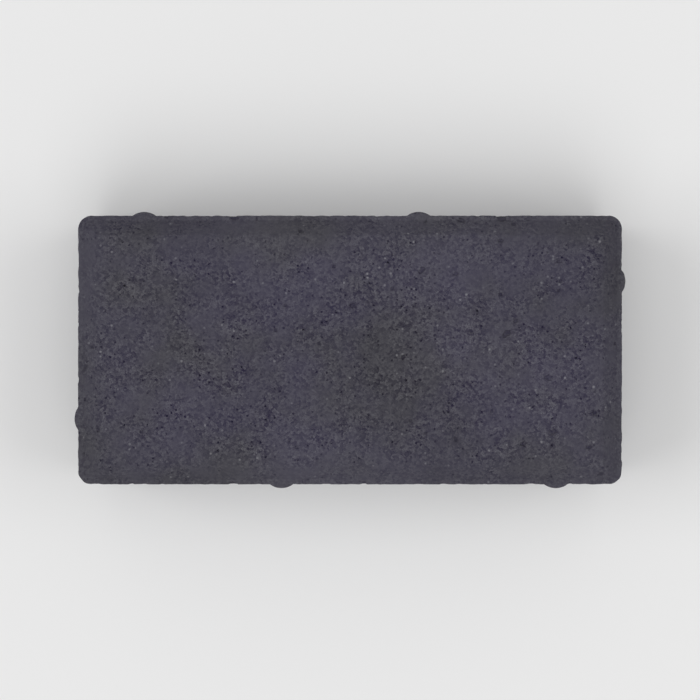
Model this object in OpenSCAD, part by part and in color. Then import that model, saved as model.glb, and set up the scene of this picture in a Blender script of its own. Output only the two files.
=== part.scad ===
// Rectangular concrete block paver, pressed in one piece: a flat wearing face with a
// chamfer and a narrow ledge round it, straight side walls with rounded upright corners,
// and spacer nibs that hold the joint open between one block and the next.
// The block lies on its bedding face at Z = 0, with its length along X.

/* [Laying module] */
// Length that one block takes up in the paving, with one joint
module_l = 200; // [160:1:300]
// Width that one block takes up in the paving, with one joint
module_w = 100; // [80:1:150]
// Joint between two blocks
joint_w = 2; // [1:0.25:4]

/* [Block] */
// Height from the bedding face to the wearing face
thickness = 60; // [40:1:120]
// Radius of the upright corners in plan
corner_r = 5; // [3:0.25:12]

/* [Wearing face] */
// Width of the chamfer in plan
chamfer_w = 5.5; // [2:0.25:10]
// Drop from the wearing face to the foot of the chamfer
chamfer_h = 4.5; // [1:0.25:8]
// Flat ledge between the foot of the chamfer and the side wall
ledge_w = 1.75; // [0.5:0.05:2.75]

/* [Spacer nibs] */
// Play between a nib and the next block, so that blocks of a slightly larger cast still fit
nib_play = 0.5; // [0:0.05:0.75]
// Width of a nib where it meets the side wall
nib_w = 9; // [6:0.5:16]
// How far the top end of a nib, level with the ledge, stays back from the nib's full depth
nib_top_back = 0.25; // [0.05:0.05:0.75]
// Height over which a nib tapers from its top end to its full depth
nib_taper_h = 3; // [1:0.25:8]

/* [Hidden] */
$fn = 96;

// The block itself is one joint smaller than its module
block_l = module_l - joint_w;
block_w = module_w - joint_w;
// Height of the ledge, where the side walls end
shoulder_h = thickness - chamfer_h;

// Places of the nibs, as shares of the module. On a long side they lie half a module apart,
// so that they miss the nibs of the next course in stretcher bond.
long_side_nib_shares = [1 / 8, 5 / 8];
short_side_nib_share = 1 / 4;

// How far a nib stands out of its wall
nib_out = joint_w - nib_play;
// A nib is a segment of this circle, with its centre set back inside the wall
nib_r = (nib_w * nib_w / 4 + nib_out * nib_out) / (2 * nib_out);
nib_setback = nib_r - nib_out;

// How far in from the wall the corner's rounding and the chamfer reach
ledge_corner_r = corner_r - ledge_w;
face_corner_r = max(0, ledge_corner_r - chamfer_w);
chamfer_slope = chamfer_h / chamfer_w;
corner_top_h = shoulder_h + (ledge_corner_r - face_corner_r) * chamfer_slope;

// Upright section of the block, across a given width
module section(width) {
    wall = width / 2;
    foot = wall - ledge_w;
    rim = foot - chamfer_w;
    polygon([
        [-wall, 0], [wall, 0], [wall, shoulder_h], [foot, shoulder_h], [rim, thickness],
        [-rim, thickness], [-foot, shoulder_h], [-wall, shoulder_h]
    ]);
}

// Block with square corners, where the chamfers of two sides meet in a mitre
module square_block() {
    intersection() {
        rotate([90, 0, 0])
            linear_extrude(block_w, center = true)
                section(block_l);
        rotate([90, 0, 90])
            linear_extrude(block_l, center = true)
                section(block_w);
    }
}

// Quarter of a round corner post, whose section is that of the wall, ledge and chamfer
module corner_quarter() {
    rotate_extrude(angle = 90)
        polygon([
            [0, 0], [corner_r, 0], [corner_r, shoulder_h], [ledge_corner_r, shoulder_h],
            [face_corner_r, corner_top_h], [0, corner_top_h]
        ]);
}

// Plan of the block without the four squares that the corner quarters fill
module cross_plan() {
    square([block_l - 2 * corner_r, block_w], center = true);
    square([block_l, block_w - 2 * corner_r], center = true);
}

module pressed_body() {
    intersection() {
        square_block();
        linear_extrude(thickness)
            cross_plan();
    }
    for (side = [0, 1], end = [0, 1])
        mirror([end, 0, 0])
            mirror([0, side, 0])
                translate([block_l / 2 - corner_r, block_w / 2 - corner_r, 0])
                    corner_quarter();
}

// Nib on a wall that faces +Y, with the wall's face at Y = 0
module nib() {
    straight_h = shoulder_h - nib_taper_h;
    translate([0, -nib_setback, 0]) {
        cylinder(h = straight_h, r = nib_r);
        translate([0, 0, straight_h])
            cylinder(h = nib_taper_h, r1 = nib_r, r2 = nib_r - nib_top_back);
    }
}

// Nibs of one long side and one short side. Turned half round, they serve the other two.
module half_of_the_nibs() {
    for (share = long_side_nib_shares)
        translate([module_l * (share - 1 / 2), block_w / 2, 0])
            nib();
    translate([block_l / 2, module_w * (1 / 2 - short_side_nib_share), 0])
        rotate([0, 0, -90])
            nib();
}

module paver_block() {
    color([0.28, 0.27, 0.31]) {
        pressed_body();
        for (turn = [0, 180])
            rotate([0, 0, turn])
                half_of_the_nibs();
    }
}

paver_block();
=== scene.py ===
"""Dresses one concrete block paver for a studio render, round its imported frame.

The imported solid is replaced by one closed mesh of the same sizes, whose skin is pressed in
by seeded noise, pits and worn edges. Lengths are in metres, apart from those in PITS.
"""

import math
from types import SimpleNamespace

import bpy
import numpy as np
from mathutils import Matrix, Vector, kdtree, noise


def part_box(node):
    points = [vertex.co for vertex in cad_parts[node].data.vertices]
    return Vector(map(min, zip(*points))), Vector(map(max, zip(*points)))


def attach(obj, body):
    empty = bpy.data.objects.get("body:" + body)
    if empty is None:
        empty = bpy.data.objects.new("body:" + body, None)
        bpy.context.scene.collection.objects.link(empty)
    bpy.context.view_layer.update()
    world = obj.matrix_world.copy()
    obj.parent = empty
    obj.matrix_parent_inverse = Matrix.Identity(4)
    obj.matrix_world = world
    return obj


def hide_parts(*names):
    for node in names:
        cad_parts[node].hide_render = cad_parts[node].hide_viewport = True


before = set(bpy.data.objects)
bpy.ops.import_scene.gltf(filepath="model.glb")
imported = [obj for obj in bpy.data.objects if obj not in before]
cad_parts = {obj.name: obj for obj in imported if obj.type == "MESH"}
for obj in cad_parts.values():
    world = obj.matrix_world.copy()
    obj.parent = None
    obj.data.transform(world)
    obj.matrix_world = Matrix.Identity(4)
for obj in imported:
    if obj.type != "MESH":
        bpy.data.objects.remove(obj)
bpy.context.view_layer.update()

MM = 0.001
NODE = "paver_block"
BODY = "root"
SEED = 7

# Sizes of the block that its outer box doesn't give, as in the CAD model
JOINT_W = 2.0 * MM
CORNER_R = 5.0 * MM
CHAMFER_W = 5.5 * MM
CHAMFER_H = 4.5 * MM
LEDGE_W = 1.75 * MM
NIB_PLAY = 0.5 * MM
NIB_OUT = JOINT_W - NIB_PLAY
NIB_W = 9.0 * MM
NIB_TOP_BACK = 0.25 * MM
NIB_TAPER_H = 3.0 * MM
LONG_SIDE_NIB_SHARES = (1 / 8, 5 / 8)
SHORT_SIDE_NIB_SHARE = 1 / 4

# Sizes worked out from the frame's box, which goes over the nibs
_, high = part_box(NODE)
WALL_X = high.x - NIB_OUT
WALL_Y = high.y - NIB_OUT
MODULE_L = 2 * WALL_X + JOINT_W
MODULE_W = 2 * WALL_Y + JOINT_W
TOP_Z = high.z
SHOULDER_Z = TOP_Z - CHAMFER_H
RIM_INSET = LEDGE_W + CHAMFER_W
NIB_R = (NIB_W**2 / 4 + NIB_OUT**2) / (2 * NIB_OUT)
NIB_SETBACK = NIB_R - NIB_OUT

# Cells of the grid on the wearing face. The underside has every second line of it
CELLS_X = 280
CELLS_Y = 132
UNDERSIDE_STEP = 2
# Amount and power with which the grid's lines crowd towards the rim, so that the round
# corners get enough of them
CROWDING_X = (0.035, 15)
CROWDING_Y = (0.08, 7)
# Stretch of each side, before its corner, that is spread out over the rounding
CORNER_SPREAD = 8.0 * MM
# Rings of points between the grid on the wearing face and the one on the underside
CHAMFER_SHARES = (0.04, 0.1, 0.2, 0.32, 0.44, 0.56, 0.68, 0.8, 0.9, 0.96)
LEDGE_SHARES = (0, 0.2, 0.4, 0.6, 0.8, 0.93)
WALL_RINGS = 44
FIRST_WALL_DROP = 0.15 * MM
BOTTOM_ARRIS = 0.3 * MM
UNDERSIDE_INSET = 3 * MM

# Waves of the skin: the size of their humps, their seed and how they are stretched
WAVES = {
    "fine": (1.4 * MM, 1, (1, 1, 1)),
    "middling": (4 * MM, 2, (1, 1, 1)),
    "broad": (24 * MM, 3, (1, 1, 1)),
    "drag": (1.6 * MM, 4, (1, 1, 25)),
    "streaks": (6 * MM, 5, (1, 1, 8)),
    "ragged": (2.2 * MM, 6, (1, 1, 1)),
    "stretches": (17 * MM, 7, (1, 1, 1)),
}
WAVE_SHIFT = np.array([17.3, 5.1, 11.7])
WAVE_GAIN = 1.4
# Mean depth of the waves on each part of the surface
TOP_WAVES = {"fine": 0.04 * MM, "middling": 0.015 * MM, "broad": 0.04 * MM}
SIDE_WAVES = {"fine": 0.05 * MM, "middling": 0.04 * MM, "drag": 0.10 * MM, "streaks": 0.06 * MM}
BOTTOM_WAVES = {"fine": 0.1 * MM, "middling": 0.16 * MM, "broad": 0.06 * MM}
# Wear of each edge: how far it reaches, its least depth, and how much deeper its ragged bites go
RIM_WEAR = (0.9 * MM, 0.05 * MM, 0.10 * MM)
LEDGE_WEAR = (1.0 * MM, 0.04 * MM, 0.28 * MM)
BOTTOM_WEAR = (1.6 * MM, 0.10 * MM, 0.35 * MM)
# Middle, swing and limit of the bites
BITES_MIDDLE = 0.4
BITES_SWING = 1.2
BITES_LIMIT = 1.4
# Values of the stretches' waves at which an edge has kept well and is worn in full, and the
# share of the bites that is left where it has kept well
STRETCH_RANGE = (-0.5, 0.6)
KEPT_EDGE_BITES = 0.35
# Share of the walls' skin and the ledge's wear that the nibs are spared
NIB_SPARED = 0.6
# Height below the ledge over which the top's skin and look pass into those of the walls
PASSAGE_H = 1 * MM
# Width of the strips beside the outer edges in which the skin's ways fan out
EDGE_FAN = 1.5 * MM
# Greatest depth of the skin with its wear and pits
DEEPEST = 1.2 * MM

# Pits on each part of the surface: how many, and the least and greatest radius and depth in mm
PITS = {
    "top": [(1400, 0.45, 0.85, 0.10, 0.22), (60, 0.7, 1.1, 0.2, 0.45), (14, 0.9, 1.3, 0.4, 0.7)],
    "side": [(480, 0.8, 1.2, 0.2, 0.5), (64, 1.1, 1.8, 0.4, 0.9), (6, 1.8, 2.6, 0.7, 1.2)],
    "bottom": [(200, 1.2, 1.8, 0.3, 0.6), (30, 1.7, 2.6, 0.5, 1.0)],
}
# Small pits are commoner than large ones by this power
PIT_SIZE_POWER = 1.5
# How much less a distance counts along the pit's long way, at least and at most
PIT_LENGTHENING = (0.1, 0.8)
# How ragged a pit's edge is, and the size of its humps and the pit's reach, in radii
PIT_RAGGEDNESS = 0.45
PIT_HUMPS = 0.8
PIT_REACH = 1.5
# How steeply a pit begins inside its edge
PIT_STEEPNESS = 3
# Stretch of the noise in which each pit finds its own humps
PIT_NOISE_SPAN = 100

# Marks that the mesh keeps for the material
MARKS = ("hollow", "edge", "margin", "side", "rubbed", "ledge")
# Depth at which a pit is marked in full
HOLLOW_DEPTH = 0.5 * MM
# How far inside the rim the edge's mark begins, and how far outside it is full
EDGE_MARK_IN = 3 * MM
EDGE_MARK_OUT = 2 * MM
# Width of the margin inside the rim
MARGIN_W = 14 * MM
# Shares of a nib's depth at which its lighter crest, partly scuffed by handling and partly a painted
# highlight, begins and is full
RUBBED_AND_LIT_SHARES = (0.2, 0.9)
# How far the ledge's mark reaches down and in from the ledge
LEDGE_MARK_DOWN = 0.4 * MM
LEDGE_MARK_IN = 0.3 * MM


def smooth(values, start, end):
    """0 at the start, 1 at the end and an even S between them."""
    share = np.clip((values - start) / (end - start), 0, 1)
    return share * share * (3 - 2 * share)


def arris(distance, reach):
    """Weight of what lies beside an edge, from 1 on it to 0 at the end of its reach."""
    return 1 - smooth(distance, 0, reach)


def graded_lines(half, cells, crowding):
    """Places of the grid's lines from -half to half, closer together at the ends."""
    amount, power = crowding
    even = np.linspace(-1, 1, cells + 1)
    return half * ((1 + amount) * even - amount * even**power)


def grid_lines():
    """The grid's lines along X and along Y."""
    x_lines = graded_lines(WALL_X - RIM_INSET, CELLS_X, CROWDING_X)
    y_lines = graded_lines(WALL_Y - RIM_INSET, CELLS_Y, CROWDING_Y)
    return x_lines, y_lines


def side_table():
    """For each side: the way it runs, the way it faces, its lines, both half sizes and its nibs."""
    x_lines, y_lines = grid_lines()
    long_nibs = [MODULE_L * (1 / 2 - share) for share in LONG_SIDE_NIB_SHARES]
    short_nibs = [MODULE_W * (1 / 2 - SHORT_SIDE_NIB_SHARE)]
    return [
        ((1, 0), (0, -1), x_lines, WALL_X, WALL_Y, long_nibs),
        ((0, 1), (1, 0), y_lines, WALL_Y, WALL_X, short_nibs),
        ((-1, 0), (0, 1), x_lines, WALL_X, WALL_Y, long_nibs),
        ((0, -1), (-1, 0), y_lines, WALL_Y, WALL_X, short_nibs),
    ]


def nib_bulge(along, z, centres):
    """How far the nibs of one side stand out of its wall, at places along it and one height."""
    taper = min(max((z - (SHOULDER_Z - NIB_TAPER_H)) / NIB_TAPER_H, 0), 1)
    radius = NIB_R - taper * NIB_TOP_BACK
    out = np.zeros_like(along)
    for centre in centres:
        reach = np.sqrt(np.maximum(radius**2 - (along - centre) ** 2, 0))
        out = np.maximum(out, reach - NIB_SETBACK)
    return out


def ring(inset, z):
    """One loop of points round the block, at a distance in from its walls and at one height."""
    points = []
    radius = max(CORNER_R - inset, 0)
    for direction, outward, lines, wall_along, wall_out, nibs in side_table():
        straight = wall_along - inset - radius
        plain = wall_along - RIM_INSET - CORNER_SPREAD
        stretch = (straight + radius * math.pi / 4 - plain) / CORNER_SPREAD
        along = lines[:-1]
        path = np.abs(along)
        path = np.where(path < plain, path, plain + (path - plain) * stretch)
        angle = np.maximum(path - straight, 0) / radius if radius else np.zeros_like(path)
        turned = straight + radius * np.sin(angle)
        run = np.sign(along) * np.where(path < straight, path, turned)
        reach = wall_out - inset - radius + radius * np.cos(angle)
        reach += nib_bulge(run, z, nibs) * max(1 - inset / LEDGE_W, 0)
        points.append(np.outer(run, direction) + np.outer(reach, outward))
    flat = np.concatenate(points)
    return np.column_stack([flat, np.full(len(flat), z)])


def face_grid(step, z):
    """Points of the flat grid inside the rim, and their indices as rows along X."""
    x_lines, y_lines = (lines[::step] for lines in grid_lines())
    grid = np.array([(x, y, z) for y in y_lines for x in x_lines])
    return grid, np.arange(len(grid)).reshape(len(y_lines), len(x_lines))


def loop_of(index):
    """The indices round the edge of a grid, in the same order as the points of a ring."""
    return np.concatenate([index[0, :-1], index[:-1, -1], index[-1, :0:-1], index[:0:-1, 0]])


def grid_faces(index, up):
    """The quads of a grid, facing up or down."""
    front_left, front_right = index[:-1, :-1].ravel(), index[:-1, 1:].ravel()
    back_left, back_right = index[1:, :-1].ravel(), index[1:, 1:].ravel()
    if up:
        corners = front_left, front_right, back_right, back_left
    else:
        corners = front_left, back_left, back_right, front_right
    return np.column_stack(corners).tolist()


def band_faces(first, second):
    """The quads between two loops of as many points."""
    return np.column_stack([first, second, np.roll(second, -1), np.roll(first, -1)]).tolist()


def halving_faces(first, second):
    """The triangles between a loop and one of half as many points."""
    start, middle, end = first[::2], first[1::2], np.roll(first[::2], -1)
    after = np.roll(second, -1)
    triangles = (start, second, middle), (middle, second, after), (middle, after, end)
    return np.concatenate([np.column_stack(corners) for corners in triangles]).tolist()


def ring_levels():
    """Inset and height of each ring, from just outside the rim down to the bottom edge."""
    insets = [RIM_INSET - share * CHAMFER_W for share in CHAMFER_SHARES]
    levels = [(inset, SHOULDER_Z + CHAMFER_H * (inset - LEDGE_W) / CHAMFER_W) for inset in insets]
    levels += [(LEDGE_W * (1 - share), SHOULDER_Z) for share in LEDGE_SHARES]
    heights = np.linspace(SHOULDER_Z - FIRST_WALL_DROP, BOTTOM_ARRIS, WALL_RINGS)
    levels += [(0, z) for z in heights]
    levels.append((BOTTOM_ARRIS, 0))
    return levels


def base_mesh():
    """The block's plain closed surface, as points, the inset of each point's ring, and faces."""
    points, index = face_grid(1, TOP_Z)
    faces = grid_faces(index, True)
    loop = loop_of(index)
    parts, insets = [points], [np.full(len(points), RIM_INSET)]

    def add(new, inset):
        count = sum(len(part) for part in parts)
        parts.append(new)
        insets.append(np.full(len(new), inset))
        return np.arange(count, count + len(new))

    for inset, z in ring_levels():
        following = add(ring(inset, z), inset)
        faces += band_faces(loop, following)
        loop = following
    following = add(ring(UNDERSIDE_INSET, 0)[::UNDERSIDE_STEP], UNDERSIDE_INSET)
    faces += halving_faces(loop, following)
    points, index = face_grid(UNDERSIDE_STEP, 0)
    index = index + add(points, RIM_INSET)[0]
    faces += band_faces(following, loop_of(index))
    faces += grid_faces(index, False)
    return np.concatenate(parts), np.concatenate(insets), faces


def inset_of(points):
    """How far in from the walls each point lies in plan. It is below zero on the nibs."""
    beyond = np.abs(points[:, :2]) - (np.array([WALL_X, WALL_Y]) - CORNER_R)
    outside = np.linalg.norm(np.maximum(beyond, 0), axis=1)
    return CORNER_R - outside - np.minimum(beyond.max(axis=1), 0)


def waves(points, name):
    """Smooth noise from about -1 to 1, of the named size, seed and stretch."""
    size, seed, stretch = WAVES[name]
    places = points / (size * np.array(stretch)) + WAVE_SHIFT * seed
    return np.array([noise.noise(place) for place in places.tolist()]) * WAVE_GAIN


def nib_share(inset):
    """Share of the skin and the wear at an inset, which is less on the nibs."""
    return 1 - NIB_SPARED * smooth(-inset, 0, NIB_OUT / 2)


def skin_ways(points, ring_insets, normals):
    """Outward direction of each point, along which the skin is pressed in.

    Beside the outer edges of the ledge and of the underside the directions fan out from a line
    inside the block, so that points close together don't cross.
    """
    corner = np.array([WALL_X, WALL_Y]) - CORNER_R
    plan = np.sign(points[:, :2]) * np.maximum(np.abs(points[:, :2]) - corner, 0)
    tolerance = 0.01 * MM
    ways = normals.copy()
    for edge_z, up in ((SHOULDER_Z, 1), (0, -1)):
        below = (edge_z - points[:, 2]) * up
        near = (ring_insets < EDGE_FAN) & (below > -tolerance) & (below < EDGE_FAN)
        rise = 1 - below[near, None] / EDGE_FAN
        straight_out = plan[near] / np.linalg.norm(plan[near], axis=1, keepdims=True)
        out = straight_out * rise + normals[near, :2] * (1 - rise)
        out /= np.linalg.norm(out, axis=1, keepdims=True)
        way = np.hstack([out * (1 - ring_insets[near, None] / EDGE_FAN), rise * up])
        ways[near] = way / np.linalg.norm(way, axis=1, keepdims=True)
    return ways


def skin_depth(points):
    """How deep the pressed skin lies under the plain surface, before any wear or pit."""
    z = points[:, 2]
    top = smooth(z, SHOULDER_Z - PASSAGE_H, SHOULDER_Z)
    bottom = z < BOTTOM_ARRIS / 2
    side = (1 - top) * (1 - bottom)
    rough = {name: 1 + waves(points, name) for name in TOP_WAVES | SIDE_WAVES | BOTTOM_WAVES}

    def relief(depths):
        return sum(depth * rough[name] for name, depth in depths.items())

    walls = side * nib_share(inset_of(points)) * relief(SIDE_WAVES)
    return top * relief(TOP_WAVES) + walls + bottom * relief(BOTTOM_WAVES)


def edge_wear(points, ring_insets):
    """How much deeper the worn edges lie, in some stretches more raggedly than in others."""
    inset = inset_of(points)
    z = points[:, 2]
    stretches = smooth(waves(points, "stretches"), *STRETCH_RANGE)
    ragged = np.clip(BITES_MIDDLE + BITES_SWING * waves(points, "ragged"), 0, BITES_LIMIT)
    ragged = ragged * (KEPT_EDGE_BITES + (1 - KEPT_EDGE_BITES) * stretches)

    def worn(distance, wear):
        reach, least, bites = wear
        return arris(distance, reach) * (least + bites * ragged)

    rim = worn(np.hypot(inset - RIM_INSET, z - TOP_Z), RIM_WEAR)
    ledge = worn(np.hypot(ring_insets, z - SHOULDER_Z), LEDGE_WEAR)
    bottom = worn(np.hypot(ring_insets, z), BOTTOM_WEAR)
    return rim + nib_share(inset) * ledge + bottom


def surface_parts(points, faces):
    """The middle and the area of each face, and which faces are on each part of the surface."""
    corners = points[np.array([(*face[:3], face[-1]) for face in faces])]
    centres = corners.mean(axis=1)
    diagonals = corners[:, 2] - corners[:, 0], corners[:, 3] - corners[:, 1]
    areas = np.linalg.norm(np.cross(*diagonals), axis=1) / 2
    # The faces that turn down over the ledge's outer edge count as top
    on_top = centres[:, 2] > SHOULDER_Z - FIRST_WALL_DROP * 2 / 3
    on_bottom = centres[:, 2] < BOTTOM_ARRIS / 2
    return centres, areas, {"top": on_top, "side": ~on_top & ~on_bottom, "bottom": on_bottom}


def press_pit(depth, tree, centre, sizes, chance):
    """Deepens the points of one pit, which is longer one way and has a ragged edge."""
    least_r, greatest_r, least_depth, greatest_depth = sizes
    radius = (least_r + (greatest_r - least_r) * chance.random() ** PIT_SIZE_POWER) * MM
    deep = (least_depth + (greatest_depth - least_depth) * chance.random()) * MM
    way = chance.normal(size=3)
    way /= np.linalg.norm(way)
    lengthening = chance.uniform(*PIT_LENGTHENING)
    shift = Vector((chance.uniform(0, PIT_NOISE_SPAN), 0, 0))
    for place, index, _ in tree.find_range(centre.tolist(), radius * PIT_REACH):
        offset = np.array(place) - centre
        across = np.linalg.norm(offset - way * (offset @ way) * lengthening)
        hump = noise.noise(Vector(place) / (PIT_HUMPS * radius) + shift)
        bite = 1 + PIT_RAGGEDNESS * hump
        fall = max(1 - (across * bite / radius) ** 2, 0)
        pressed = deep * math.sqrt(fall) * min(1, fall * PIT_STEEPNESS)
        depth[index] = max(depth[index], pressed)


def pit_depth(points, faces):
    """How much deeper the pits are than the skin, as pits scattered over the whole surface."""
    chance = np.random.default_rng(SEED)
    centres, areas, parts = surface_parts(points, faces)
    tree = kdtree.KDTree(len(points))
    for index, place in enumerate(points.tolist()):
        tree.insert(place, index)
    tree.balance()

    depth = np.zeros(len(points))
    for part, classes in PITS.items():
        weight = areas * parts[part]
        for count, *sizes in classes:
            chosen = chance.choice(len(faces), count, p=weight / weight.sum())
            for centre in centres[chosen]:
                press_pit(depth, tree, centre, sizes, chance)
    return depth


def mesh_object(name, points, faces):
    """An object in the scene with a new mesh."""
    mesh = bpy.data.meshes.new(name)
    mesh.from_pydata(points.tolist(), [], faces)
    new_object = bpy.data.objects.new(name, mesh)
    bpy.context.scene.collection.objects.link(new_object)
    return new_object


def store_marks(mesh, points, pits):
    """Keeps a few numbers for each point, which tell the material where it is."""
    inset = inset_of(points)
    z = points[:, 2]
    hollow = np.clip(pits / HOLLOW_DEPTH, 0, 1)
    edge = smooth(-inset, -RIM_INSET - EDGE_MARK_IN, -RIM_INSET + EDGE_MARK_OUT)
    margin = smooth(-inset, -RIM_INSET - MARGIN_W, 0)
    side = 1 - smooth(z, SHOULDER_Z - PASSAGE_H, SHOULDER_Z)
    least_out, full_out = (share * NIB_OUT for share in RUBBED_AND_LIT_SHARES)
    below_taper = 1 - smooth(z, SHOULDER_Z - NIB_TAPER_H, SHOULDER_Z)
    rubbed = smooth(-inset, least_out, full_out) * below_taper
    at_ledge = arris(np.abs(z - SHOULDER_Z), LEDGE_MARK_DOWN)
    ledge = at_ledge * arris(inset - LEDGE_W, LEDGE_MARK_IN)
    for name, values in zip(MARKS, (hollow, edge, margin, side, rubbed, ledge)):
        mesh.attributes.new(name, "FLOAT", "POINT").data.foreach_set("value", values)


def build_block():
    """The one piece: the plain surface with its skin, wear and pits pressed in."""
    points, ring_insets, faces = base_mesh()
    block = mesh_object("pressed_block", points, faces)
    mesh = block.data
    normals = np.empty(len(points) * 3, dtype=np.float32)
    mesh.vertex_normals.foreach_get("vector", normals)
    pits = pit_depth(points, faces)
    depth = np.minimum(skin_depth(points) + edge_wear(points, ring_insets) + pits, DEEPEST)
    ways = skin_ways(points, ring_insets, normals.reshape(-1, 3))
    moved = points - ways * depth[:, None]
    mesh.vertices.foreach_set("co", moved.ravel())
    mesh.update()
    mesh.shade_smooth()
    store_marks(mesh, points, pits)
    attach(block, BODY)
    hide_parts(NODE)
    return block


class Nodes:
    """Short ways to add the nodes of one material or world."""

    # How far one seed moves the coordinates
    SEED_STEP = (0.37, 0.21, 0.53)
    # Distance from 0.5 within which most values of noise lie
    NOISE_REACH = 0.25

    def __init__(self, owner):
        owner.use_nodes = True
        self.tree = owner.node_tree

    def add(self, kind, settings=None, inputs=None):
        """Adds a node, with its settings and with a value or a link for each input."""
        node = self.tree.nodes.new("ShaderNode" + kind)
        for key, value in (settings or {}).items():
            setattr(node, key, value)
        for key, value in (inputs or {}).items():
            self.feed(node.inputs[key], value)
        return node

    def feed(self, socket, value):
        if isinstance(value, bpy.types.NodeSocket):
            self.tree.links.new(value, socket)
        else:
            socket.default_value = value

    def attribute(self, name):
        return self.add("Attribute", {"attribute_name": name}).outputs["Fac"]

    def shifted(self, seed, stretch=(1, 1, 1)):
        """Object coordinates moved by a seed, and stretched."""
        place = self.add("TexCoord").outputs["Object"]
        scale = [1 / factor for factor in stretch]
        location = [seed * step for step in self.SEED_STEP]
        inputs = {"Vector": place, "Location": location, "Scale": scale}
        return self.add("Mapping", None, inputs).outputs["Vector"]

    def noise(self, size, seed, detail=1, roughness=0.5, stretch=(1, 1, 1)):
        """Smooth noise from 0 to 1, most of it between 0.25 and 0.75."""
        place = self.shifted(seed, stretch)
        inputs = {"Vector": place, "Scale": 1 / size, "Detail": detail, "Roughness": roughness}
        return self.add("TexNoise", None, inputs).outputs["Fac"]

    def cells(self, size, seed):
        """Distance from the middle of a cell, and a random number for each cell."""
        node = self.add("TexVoronoi", None, {"Vector": self.shifted(seed), "Scale": 1 / size})
        parts = self.add("SeparateColor", None, {"Color": node.outputs["Color"]})
        return node.outputs["Distance"], parts.outputs["Red"]

    def math(self, operation, first, second):
        inputs = {0: first, 1: second}
        return self.add("Math", {"operation": operation}, inputs).outputs[0]

    def times(self, first, second):
        return self.math("MULTIPLY", first, second)

    def plus(self, first, second):
        return self.math("ADD", first, second)

    def minus(self, first, second):
        return self.math("SUBTRACT", first, second)

    def ranged(self, value, from_low, from_high, to_low, to_high, smooth_step=False):
        settings = {"interpolation_type": "SMOOTHSTEP" if smooth_step else "LINEAR"}
        inputs = {0: value, 1: from_low, 2: from_high, 3: to_low, 4: to_high}
        return self.add("MapRange", settings, inputs).outputs[0]

    def swing(self, value, middle, amount, reach=NOISE_REACH):
        """Turns values within reach of 0.5 into ones within an amount of the middle."""
        return self.ranged(value, 0.5 - reach, 0.5 + reach, middle - amount, middle + amount)

    def toned(self, shade, where, factor):
        """A shade multiplied by a factor where a mark is 1."""
        return self.times(shade, self.ranged(where, 0, 1, 1, factor))

    def mixed(self, share, first, second):
        """A colour between two others, which are the node's inputs 6 and 7."""
        inputs = {"Factor": share, 6: first, 7: second}
        return self.add("Mix", {"data_type": "RGBA"}, inputs).outputs[2]

    def scaled(self, colour, amount):
        """A colour made lighter or darker."""
        inputs = {0: colour, "Scale": amount}
        return self.add("VectorMath", {"operation": "SCALE"}, inputs).outputs[0]

    def greyed(self, colour, amount):
        """A colour with some plain grey added or taken away."""
        return self.add("VectorMath", {"operation": "ADD"}, {0: colour, 1: amount}).outputs[0]


# Colours in linear light
BLUISH = (0.0531, 0.0494, 0.0728, 1)
NEUTRAL = (0.0508, 0.0489, 0.0595, 1)
GREYER = (0.0531, 0.0513, 0.0624, 1)
SAND_GREY = 0.053
# Share of the greyer colour at the margins
MARGIN_GREYING = 0.48

# Noise and cells that show in the concrete: the size and the seed, and for some the detail,
# the roughness and the stretch
CLOUDS = (38 * MM, 11, 3)
TONES = (60 * MM, 7)
GRAINS = (0.85 * MM, 2)
GRIT = (0.42 * MM, 3, 2, 0.6)
PATCHES = (5 * MM, 4)
STONES = (6 * MM, 9)
STREAKS = (1.6 * MM, 8, 2, 0.5, (1, 1, 20))
CONTRASTS = (9 * MM, 10)
# Distances from 0.5 that a swing covers: one that takes in every random number, and one that
# broad noise often passes, so that it dwells at both ends
NUMBER_REACH = 0.5
BROAD_REACH = 0.2
# Values of the clouds' noise at which the colour is all neutral and all bluish
CLOUD_RANGE = (0.32, 0.62)
# How far each of these swings the brightness to both sides
TONE_SWING = 0.12
GRAIN_SWING = 0.36
GRIT_SWING = 0.41
PATCH_SWING = 0.08
STONE_SWING = 0.08
STREAK_SWING = 0.25
# How much the grain stands out, how far that swings, and what the margins and edges take off it
CONTRAST_MIDDLE = 1.05
CONTRAST_SWING = 0.55
MARGIN_CALM = 0.2
EDGE_CALM = 0.12

# Spots: the size and the seed of the cells that may have one, the share of them that do, and
# the spot's outer radius. Within its core a spot is full, and its outline wobbles
LIGHT_GRAINS = (2.1 * MM, 5, 0.09, 0.26)
PORES = (1.7 * MM, 6, 0.23, 0.28)
SPOT_CORE = 0.12
SPOT_WOBBLE = 0.09
# How many times the spots' wobble is added to the hollows' mark, and the values of the two
# together at which a pit begins and is full
PIT_WOBBLES = 2
PIT_RANGE = (0.35, 0.75)

# What a light grain adds to the shade, and the factors of what else tones it
LIGHT_GRAIN_SHADE = 1.5
# Painted shade in the pores, which the relief is too fine to shade
PORE_PAINTED_SHADE = 0.28
# Painted shade in the pits
PIT_PAINTED_SHADE = 0.62
# Painted shade on the chamfer, the ledge and a strip of the top beside the rim
CHAMFER_PAINTED_SHADE = 0.955
LEDGE_FACTOR = 1.1
# Partly a painted highlight on the crests of the nibs
RUBBED_AND_HIGHLIGHT_FACTOR = 1.15

ROUGHNESS = 0.9
ROUGHNESS_SWING = 0.08
SPECULAR = 0.3

# Height of the relief that is too fine for the mesh, and the shares of it. The grit's is one
RELIEF_HEIGHT = 0.15 * MM
GRAIN_RELIEF = 0.7
PORE_RELIEF = 1.5
STREAK_RELIEF = 2.0
PIT_RELIEF = 2.0
# Distances from a grain's middle at which it is highest and lowest
GRAIN_ROUNDING = (0.1, 0.75)


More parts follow.
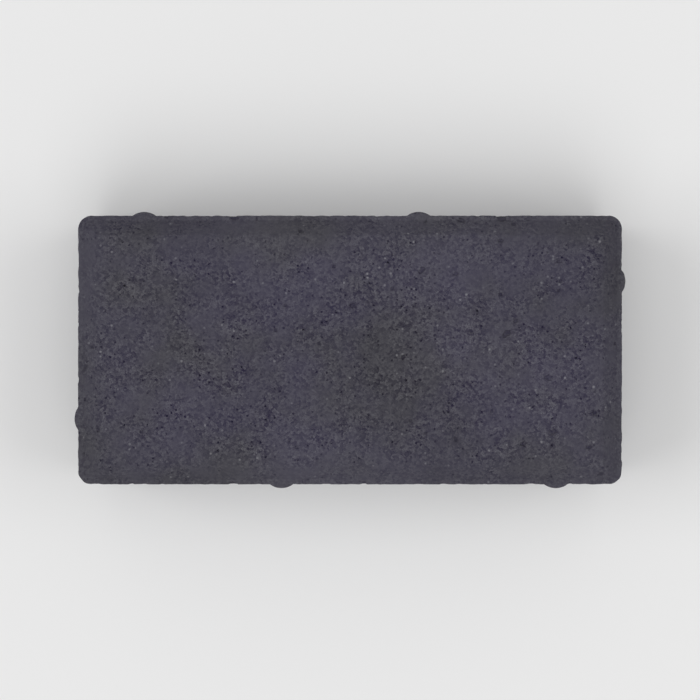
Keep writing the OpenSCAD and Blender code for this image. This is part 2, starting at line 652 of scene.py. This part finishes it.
def spots(nodes, kind, wobble):
    """Round spots of wobbly outline, in the middle of some of the cells."""
    size, seed, share, radius = kind
    distance, number = nodes.cells(size, seed)
    chosen = nodes.math("GREATER_THAN", number, 1 - share)
    return nodes.times(chosen, nodes.ranged(nodes.plus(distance, wobble), SPOT_CORE, radius, 1, 0))


def grain_contrast(nodes, parts):
    """How much the grain stands out. It is calmer towards the pressed edges."""
    calmer = nodes.plus(nodes.times(parts.margin, MARGIN_CALM), nodes.times(parts.edge, EDGE_CALM))
    patchy = nodes.swing(nodes.noise(*CONTRASTS), CONTRAST_MIDDLE, CONTRAST_SWING, BROAD_REACH)
    return nodes.times(nodes.minus(1.0, nodes.times(calmer, parts.upper)), patchy)


def concrete_parts(nodes):
    """The mesh's marks, and what the shade and the relief of the concrete share."""
    parts = SimpleNamespace(**{name: nodes.attribute(name) for name in MARKS})
    parts.upper = nodes.minus(1.0, parts.side)
    parts.grain_distance, parts.grain_number = nodes.cells(*GRAINS)
    parts.grit = nodes.noise(*GRIT)
    parts.wobble = nodes.swing(parts.grit, 0, SPOT_WOBBLE)
    parts.streaks = nodes.times(nodes.swing(nodes.noise(*STREAKS), 0, STREAK_SWING), parts.side)
    parts.pores = spots(nodes, PORES, parts.wobble)
    sunk = nodes.plus(parts.hollow, nodes.times(parts.wobble, PIT_WOBBLES))
    parts.pits = nodes.ranged(sunk, *PIT_RANGE, 0, 1, smooth_step=True)
    parts.contrast = grain_contrast(nodes, parts)
    return parts


def concrete_colour(nodes, margin):
    """Clouds of bluish and of neutral grey in a slowly changing tone, greyer at the margins."""
    clouds = nodes.ranged(nodes.noise(*CLOUDS), *CLOUD_RANGE, 0, 1, smooth_step=True)
    colour = nodes.mixed(clouds, NEUTRAL, BLUISH)
    colour = nodes.mixed(nodes.times(margin, MARGIN_GREYING), colour, GREYER)
    return nodes.scaled(colour, nodes.swing(nodes.noise(*TONES), 1, TONE_SWING, BROAD_REACH))


def concrete_shade(nodes, parts):
    """Shade round one, which all that shows in the concrete makes lighter or darker."""
    grains = nodes.swing(parts.grain_number, 1, GRAIN_SWING, NUMBER_REACH)
    shade = nodes.times(grains, nodes.swing(parts.grit, 1, GRIT_SWING))
    shade = nodes.times(shade, nodes.swing(nodes.noise(*PATCHES), 1, PATCH_SWING))
    shade = nodes.times(shade, nodes.plus(parts.streaks, 1))
    _, stone_number = nodes.cells(*STONES)
    stones = nodes.swing(stone_number, 0, STONE_SWING, NUMBER_REACH)
    stones = nodes.times(stones, parts.side)
    shade = nodes.times(shade, nodes.plus(stones, 1))
    light = spots(nodes, LIGHT_GRAINS, parts.wobble)
    shade = nodes.plus(shade, nodes.times(light, LIGHT_GRAIN_SHADE))
    # Painted shade: the pores are darkened, standing in for the shade inside them
    shade = nodes.toned(shade, parts.pores, PORE_PAINTED_SHADE)
    shade = nodes.plus(nodes.times(shade, parts.contrast), nodes.minus(1.0, parts.contrast))
    # Painted shade: the pits are darkened, standing in for the shade that falls in them
    shade = nodes.toned(shade, parts.pits, PIT_PAINTED_SHADE)
    # Painted shade: the chamfer, the ledge and a strip of the top beside the rim are darkened
    shade = nodes.toned(shade, nodes.times(parts.edge, parts.upper), CHAMFER_PAINTED_SHADE)
    shade = nodes.toned(shade, parts.ledge, LEDGE_FACTOR)
    # The crests of the nibs are lighter, partly scuffed by handling and partly a painted highlight
    # that makes them stand out
    return nodes.toned(shade, parts.rubbed, RUBBED_AND_HIGHLIGHT_FACTOR)


def concrete_normal(nodes, parts):
    """Normal of the relief that is too fine for the mesh."""
    grains = nodes.ranged(parts.grain_distance, *GRAIN_ROUNDING, 1, 0, smooth_step=True)
    height = nodes.plus(nodes.times(grains, GRAIN_RELIEF), parts.grit)
    height = nodes.minus(height, nodes.times(parts.pores, PORE_RELIEF))
    height = nodes.plus(height, nodes.times(parts.streaks, STREAK_RELIEF))
    height = nodes.times(height, parts.contrast)
    height = nodes.minus(height, nodes.times(parts.pits, PIT_RELIEF))
    inputs = {"Strength": 1.0, "Distance": RELIEF_HEIGHT, "Height": height}
    return nodes.add("Bump", None, inputs).outputs["Normal"]


def concrete_material():
    """Matt grey concrete with grains, grit, pores and pits, and with streaks on the walls."""
    material = bpy.data.materials.new("concrete")
    nodes = Nodes(material)
    shader = nodes.tree.nodes["Principled BSDF"]
    parts = concrete_parts(nodes)
    # Sand differs from the pigmented cement in brightness, and not in its tint
    sand = nodes.times(nodes.minus(concrete_shade(nodes, parts), 1.0), SAND_GREY)
    nodes.feed(shader.inputs["Base Color"], nodes.greyed(concrete_colour(nodes, parts.margin), sand))
    nodes.feed(shader.inputs["Roughness"], nodes.swing(parts.grit, ROUGHNESS, ROUGHNESS_SWING))
    nodes.feed(shader.inputs["Normal"], concrete_normal(nodes, parts))
    shader.inputs["Specular IOR Level"].default_value = SPECULAR
    return material


FLOOR_HALF = 20
FLOOR_COLOUR = (0.8, 0.8, 0.8, 1)
FLOOR_ROUGHNESS = 0.9

# Brightness of the sky as a lamp and as a backdrop
SKY_LIGHT = 0.5
BACKDROP_GREY = 0.84
# The way towards each lamp and its strength, and the angle that each fills
LAMPS = {"south": ((0, -0.55, 1), 0.7), "west": ((-1, 0, 1), 0.9), "east": ((1, 0, 1), 0.56)}
LAMP_ANGLE = math.radians(40)

# Height of the camera above the wearing face, and its lens in millimetres
CAMERA_ABOVE = 0.9
CAMERA_LENS = 128


def floor_material():
    """Plain matt paint."""
    material = bpy.data.materials.new("floor")
    material.use_nodes = True
    shader = material.node_tree.nodes["Principled BSDF"]
    shader.inputs["Base Color"].default_value = FLOOR_COLOUR
    shader.inputs["Roughness"].default_value = FLOOR_ROUGHNESS
    return material


def make_floor():
    """A pale floor so large that its edges lie out of sight."""
    corners = [(x, y, 0) for x, y in ((-1, -1), (1, -1), (1, 1), (-1, 1))]
    floor = mesh_object("floor", np.array(corners) * FLOOR_HALF, [(0, 1, 2, 3)])
    floor.data.materials.append(floor_material())


def soft_light(name, towards, strength):
    """A lamp so far off that it lights the floor evenly, and so wide that its shadow is soft."""
    data = bpy.data.lights.new(name, "SUN")
    data.energy = strength
    data.angle = LAMP_ANGLE
    light = bpy.data.objects.new(name, data)
    light.rotation_mode = "QUATERNION"
    light.rotation_quaternion = Vector(towards).to_track_quat("Z", "Y")
    bpy.context.scene.collection.objects.link(light)


def make_lights():
    """Three soft lamps and an even sky. The sky shows as the floor's own pale grey."""
    world = bpy.data.worlds.new("studio")
    bpy.context.scene.world = world
    nodes = Nodes(world)
    rays = nodes.add("LightPath").outputs
    seen = nodes.math("MAXIMUM", rays["Is Camera Ray"], rays["Is Glossy Ray"])
    seen = nodes.math("MAXIMUM", seen, rays["Is Transmission Ray"])
    background = nodes.tree.nodes["Background"]
    background.inputs["Color"].default_value = (1, 1, 1, 1)
    nodes.feed(background.inputs["Strength"], nodes.ranged(seen, 0, 1, SKY_LIGHT, BACKDROP_GREY))
    for name, (towards, strength) in LAMPS.items():
        soft_light(name, towards, strength)


def make_camera():
    """Looks straight down on the wearing face."""
    data = bpy.data.cameras.new("camera")
    data.lens = CAMERA_LENS
    camera = bpy.data.objects.new("camera", data)
    camera.location = (0, 0, TOP_Z + CAMERA_ABOVE)
    bpy.context.scene.collection.objects.link(camera)
    bpy.context.scene.camera = camera


make_camera()
block = build_block()
block.data.materials.append(concrete_material())
make_floor()
make_lights()
bpy.context.scene.view_settings.view_transform = "Standard"
